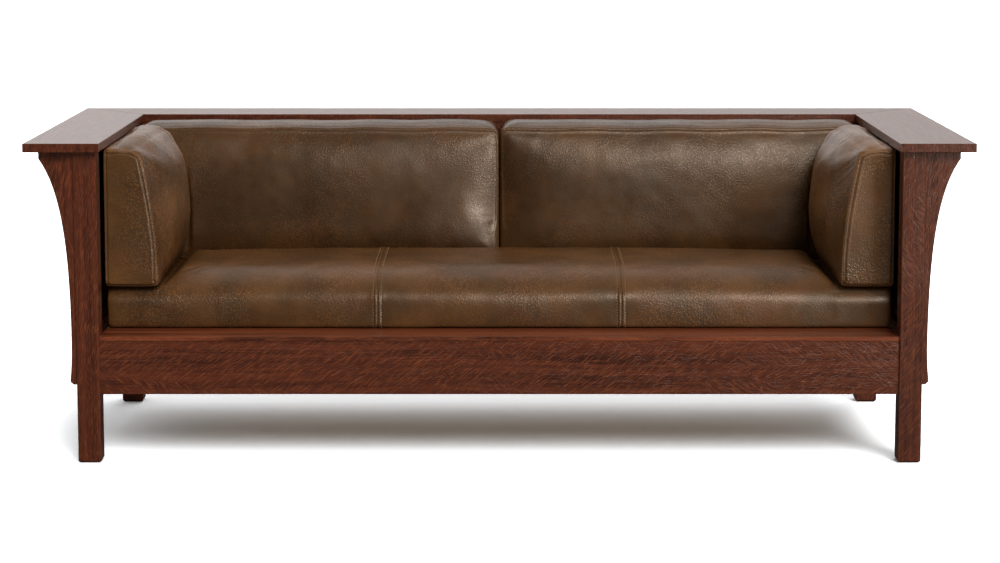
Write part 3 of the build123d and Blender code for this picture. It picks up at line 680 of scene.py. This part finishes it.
def sewn(piece, rows, name):
    """Rows of thread: one short rounded stitch after another, half sunk in the leather."""
    tree = BVHTree.FromObject(piece, bpy.context.evaluated_depsgraph_get())
    bm = bmesh.new()
    for row in rows:
        path = evenly(row, stitch_pitch)
        for ahead, back in zip(path[1:], path[:-1]):
            near, out, _, _ = tree.find_nearest(Vector((ahead + back) / 2))
            along = Vector(ahead - back).normalized()
            across = along.cross(out).normalized()
            turn = Matrix((along * stitch_length / 2, across * thread_radius,
                           out * thread_radius)).transposed().to_4x4()
            bmesh.ops.create_icosphere(bm, subdivisions=1, radius=1,
                                       matrix=Matrix.Translation(near + out * 0.0002) @ turn)
    mesh = bpy.data.meshes.new(name)
    bm.to_mesh(mesh)
    bm.free()
    mesh.polygons.foreach_set("use_smooth", np.ones(len(mesh.polygons), bool))
    made = bpy.data.objects.new(name, mesh)
    scene.collection.objects.link(made)
    return made


thread = bpy.data.materials.new("waxed thread")
thread.use_nodes = True
tree = thread.node_tree
skin = tree.nodes["Principled BSDF"]
here = wire(tree, "ShaderNodeTexCoord").outputs["Object"]
tree.links.new(blend(tree, cloud(tree, here, (60, 60, 60)), (0.130, 0.073, 0.034, 1),
                     (0.225, 0.138, 0.070, 1)), skin.inputs["Base Color"])
skin.inputs["Roughness"].default_value = 0.55

seat_node = "seat_cushion_cover"
seat_low, seat_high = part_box(seat_node)
side_top = 0.390
crown_top = 0.4290
cad_crown_top = 0.417
seam_x = 0.283
arm_foot_x = 0.781
shoulder_x = 0.751
back_foot_y = 0.0885
post_x = 0.9112
seat_front_y = -0.337
crown_limit = 0.4335
crown_fall = 0.005


def seat_shape(at):
    """The crown stands highest in the middle and falls to the arms in a short shoulder."""
    x = np.abs(at[:, 0])
    shoulder = np.clip((arm_foot_x - x) / (arm_foot_x - shoulder_x), 0, 1)
    was = side_top + (cad_crown_top - side_top) * shoulder
    rise = crown_top - side_top - crown_fall * ease(x, 0.35, 0.75)
    wanted = side_top + rise * shoulder
    share = np.where((x < arm_foot_x) & (at[:, 1] < back_foot_y),
                     (wanted - seat_low.z) / (was - seat_low.z), 1.0)
    at[:, 2] = seat_low.z + (at[:, 2] - seat_low.z) * share
    return at


def seat_held(at):
    """The seat is held where it lies on the deck, at its panel seams and under its neighbours."""
    foot = 1 - (at[:, 2] - seat_low.z) / 0.012
    seam = 0.8 * (1 - np.abs(np.abs(at[:, 0]) - seam_x) / 0.012)
    on_top = np.where(at[:, 2] > side_top - 0.012, 1.0, 0.5)
    under_arm = on_top * np.clip((np.abs(at[:, 0]) - arm_foot_x) / 0.02 + 1, 0, 1)
    under_back = on_top * np.clip((at[:, 1] - back_foot_y) / 0.004 + 1, 0, 1)
    return np.maximum.reduce([foot, seam, under_arm, under_back])


def seat_kept(at):
    """The seat stays below the arm and back cushions and between the posts."""
    at = np.clip(at, (-post_x, seat_front_y, seat_low.z), (post_x, seat_high.y, crown_limit))
    under = (np.abs(at[:, 0]) > arm_foot_x) | (at[:, 1] > back_foot_y)
    at[under, 2] = np.minimum(at[under, 2], side_top + 0.0002)
    return at


seat = stuffed("seat_cushion", seat_node, voxel=0.007, soften=4, pressure=3.0,
               shaped=seat_shape, held=seat_held, swell=(2, 0.010),
               room=((0.005, 0.005), (0.009, 0.001), (0.001, 0.006)))
seat_seams = []
seat_rows = []
for side in (-1, 1):
    for offset in (-0.0095, 0.0, 0.0095):
        path = traced(seat, (side * seam_x + offset, -0.10, 0.345), (0, 1, 0), (0, 0, 1),
                      math.radians(4), math.radians(202))
        (seat_rows if offset else seat_seams).append(path)
trimmed(seat, seat_seams, seat_rows, seat_kept, worn=0.15)
# The seat leather is painted 1.12 times lighter: painted light for its lit front and top.
seat.data.materials.append(leather("seat leather", 1.0, relief=0.28, painted_light=1.12))
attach(seat, "seat_cushion")
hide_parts("seat_cushion_cover", "seat_cushion_foam", "seat_cushion_topper")

seam_leather = leather("seam leather", 5.0, relief=0.2)
for n, path in enumerate(seat_seams):
    cord = laid_on(seat, path, f"seat_seam_{n + 1}", -0.0003)
    cord.data.materials.append(seam_leather)
    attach(cord, "seat_cushion")
seat_thread = sewn(seat, seat_rows, "seat_topstitching")
seat_thread.data.materials.append(thread)
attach(seat_thread, "seat_cushion")

# ---- arm cushions ------------------------------------------------------------------------
# A wedge of foam stands on end inside each arm. Its cover has a front and a back panel set
# in with a seam all round, and a full face on the side of the sitter.

cap_underside = 0.7155
cap_inner_x = 0.9008
arm_top = 0.733
arm_fullness = 0.28
arm_top_rise = 0.013
front_panel_foot_x = 0.785
front_panel_slope = 0.118

for side, hand in ((-1, "left"), (1, "right")):
    node = f"{hand}_arm_cushion_cover"
    low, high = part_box(node)
    outer = max(abs(low.x), abs(high.x))

    def arm_shape(at):
        """It is fuller behind its front panel, and drawn tighter at the foot."""
        fuller = arm_fullness * ease(at[:, 2], 0.52, 0.70)
        fuller = fuller * ease(at[:, 1], low.y, low.y + 0.18)
        wall = (outer - side * at[:, 0]) * (1 + fuller * (1 - ease(at[:, 1], 0.02, 0.09)))
        at[:, 0] = side * (outer - wall * (0.35 + 0.65 * ease(wall, 0.0, 0.05)))
        foot = at[:, 2] - low.z
        at[:, 2] = low.z + foot * (0.5 + 0.5 * ease(foot, 0.0, 0.045))
        behind = ease(at[:, 1], low.y + 0.01, low.y + 0.13)
        at[:, 2] += arm_top_rise * ease(at[:, 2], 0.64, 0.70) * behind
        return at

    def arm_held(at):
        """An arm cushion is held at its foot and at its two end panels."""
        foot = 1 - (at[:, 2] - low.z) / 0.010
        front = 0.9 * (1 - (at[:, 1] - low.y) / 0.022)
        rear = 0.9 * (1 - (high.y - at[:, 1]) / 0.010)
        return np.maximum.reduce([foot, front, rear])

    def arm_squared(at):
        """It fills the corner under the cap, and its front panel has a straight inner edge."""
        wall = np.maximum(outer - side * at[:, 0], -0.0003)
        x = outer - wall * (0.15 + 0.85 * ease(wall, 0.0, 0.024))
        drop = np.clip(cap_underside - at[:, 2], 0.0, 0.035)
        at[:, 2] += 0.8 * drop * (1 - ease(drop, 0.0, 0.035)) * (1 - ease(wall, 0.020, 0.060))
        straight = front_panel_foot_x + front_panel_slope * (at[:, 2] - low.z)
        x += 0.6 * np.maximum(straight - x, 0) * (1 - ease(at[:, 1], low.y, low.y + 0.10))
        at[:, 0] = side * x
        return at

    def arm_kept(at):
        """It stays between the posts, beside the cap's edge, on the seat and off the crown."""
        x = side * at[:, 0]
        z = at[:, 2]
        inner = 0.70 + 0.072 * ease(at[:, 1], 0.055, 0.088)
        beside_crown = np.maximum(inner, arm_foot_x + 0.002 - 0.9 * (z - side_top))
        inner = np.where(z < 0.44, beside_crown, inner)
        x = np.clip(x, inner, outer + 0.0003)
        at[:, 0] = side * x
        at[:, 1] = np.clip(at[:, 1], low.y - 0.007, high.y + 0.0005)
        lid = np.clip(cap_underside + 1.5 * (cap_inner_x - x), cap_underside, arm_top)
        at[:, 2] = np.clip(z, low.z, lid)
        return at

    inward, outward = (0.085, 0.012) if side > 0 else (0.012, 0.085)
    arm = stuffed(f"{hand}_arm_cushion", node, voxel=0.006, soften=6, pressure=12.0,
                  shaped=arm_shape, held=arm_held, swell=(0, 0.062),
                  room=((inward, outward), (0.007, 0.005), (0.0005, 0.010)))
    moved_to(arm, arm_squared(coords(arm.data)))
    middle = ((low.x + high.x) / 2 + side * 0.012, 0, (low.z + high.z) / 2)
    loops = []
    rows = []
    for y, way in ((low.y + 0.03, 1), (high.y - 0.03, -1)):
        round_it = traced(arm, (middle[0], y, middle[2]), (1, 0, 0), (0, 0, 1), 0, 2 * math.pi)
        loops.append(set_in(arm, round_it, 0.0055, 0.0135, side, way))
        rows.append(set_in(arm, round_it, 0.0010, 0.0080, side, way))
    trimmed(arm, loops, rows, arm_kept, waves=0.0014, folds=(14, 55, 14), worn=0.6)
    # The arm leather is painted 1.45 times lighter: painted light for the arm cushions' lit fronts.
    arm.data.materials.append(leather(f"{hand} arm leather", 7.0 + side, relief=0.38, painted_light=1.45))
    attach(arm, f"{hand}_arm_cushion")
    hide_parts(node, f"{hand}_arm_cushion_foam")
    for n, path in enumerate(loops):
        cord = laid_on(arm, path, f"{hand}_arm_seam_{n + 1}", -0.0002)
        cord.data.materials.append(seam_leather)
        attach(cord, f"{hand}_arm_cushion")
    stitches = sewn(arm, rows, f"{hand}_arm_topstitching")
    stitches.data.materials.append(thread)
    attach(stitches, f"{hand}_arm_cushion")

# ---- back cushions -----------------------------------------------------------------------
# Two boxed cushions lean on the back frame. Each has a full front panel, set into the
# boxing with a seam that runs round its front edge, and a plain rear panel sewn in the same way.

held_seam_y = 0.140
drawn_seam_y = 0.139
back_rise = 0.0055
top_ripple = 0.0012
behind_arm_y = 0.1155

for side, hand in ((-1, "left"), (1, "right")):
    node = f"{hand}_back_cushion_cover"
    low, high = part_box(node)
    centre_x = (low.x + high.x) / 2
    half = (high.x - low.x) / 2

    def back_shape(at):
        """The front starts flat above the seat's crown, and swells when the cushion is filled."""
        at[:, 1] = np.maximum(at[:, 1], 0.112 + 0.020 * ease(at[:, 2], 0.41, 0.50))
        at[:, 2] += back_rise * ease(at[:, 2], 0.55, 0.70)
        at[:, 2] += top_ripple * np.sin(at[:, 0] * 31 + side) * ease(at[:, 2], 0.60, 0.70)
        return at

    def back_held(at):
        """A back cushion is held at its foot, against the back frame and at its front seam."""
        foot = 1 - (at[:, 2] - low.z) / 0.010
        wall = 1 - (high.y - at[:, 1]) / 0.010
        rim = (np.abs(at[:, 0] - centre_x) > half - 0.012) | (at[:, 2] > 0.700)
        seam = 0.9 * (1 - np.abs(at[:, 1] - held_seam_y) / 0.012) * rim
        return np.maximum.reduce([foot, wall, seam])

    def back_kept(at):
        """It stays off its neighbour and the arm cushions, on the seat and off the crown."""
        at[:, 0] = np.clip(at[:, 0], low.x - 0.0002, high.x + 0.0002)
        front = low.y - 0.006 + (behind_arm_y - low.y) * ease(np.abs(at[:, 0]), 0.748, 0.771)
        front = np.maximum(front, np.where(at[:, 2] < 0.440, back_foot_y + 0.001, -1))
        at[:, 1] = np.clip(at[:, 1], front, high.y + 0.0004)
        at[:, 2] = np.clip(at[:, 2], low.z, high.z + 0.008)
        return at

    back = stuffed(f"{hand}_back_cushion", node, voxel=0.007, soften=4, pressure=12.0,
                   shaped=back_shape, held=back_held, swell=(1, 0.048),
                   room=((0.007, 0.007), (0.060, 0.0005), (0.0005, 0.009)))
    middle = (centre_x, 0, (low.z + high.z) / 2 - 0.01)
    loops = [traced(back, (middle[0], y, middle[2]), (1, 0, 0), (0, 0, 1), 0, 2 * math.pi, 0.4)
             for y in (drawn_seam_y, high.y - 0.008)]
    trimmed(back, loops, [], back_kept, worn=0.6)
    # The back leather is painted darker, at 0.76: painted shade for where the arms and cap shade
    # the back cushions.
    back.data.materials.append(leather(f"{hand} back leather", 11.0 + 2 * side, relief=0.2,
                                       painted_light=0.76))
    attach(back, f"{hand}_back_cushion")
    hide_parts(node, f"{hand}_back_cushion_foam")
    for n, path in enumerate(loops):
        cord = laid_on(back, path, f"{hand}_back_seam_{n + 1}", -0.0002)
        cord.data.materials.append(seam_leather)
        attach(cord, f"{hand}_back_cushion")
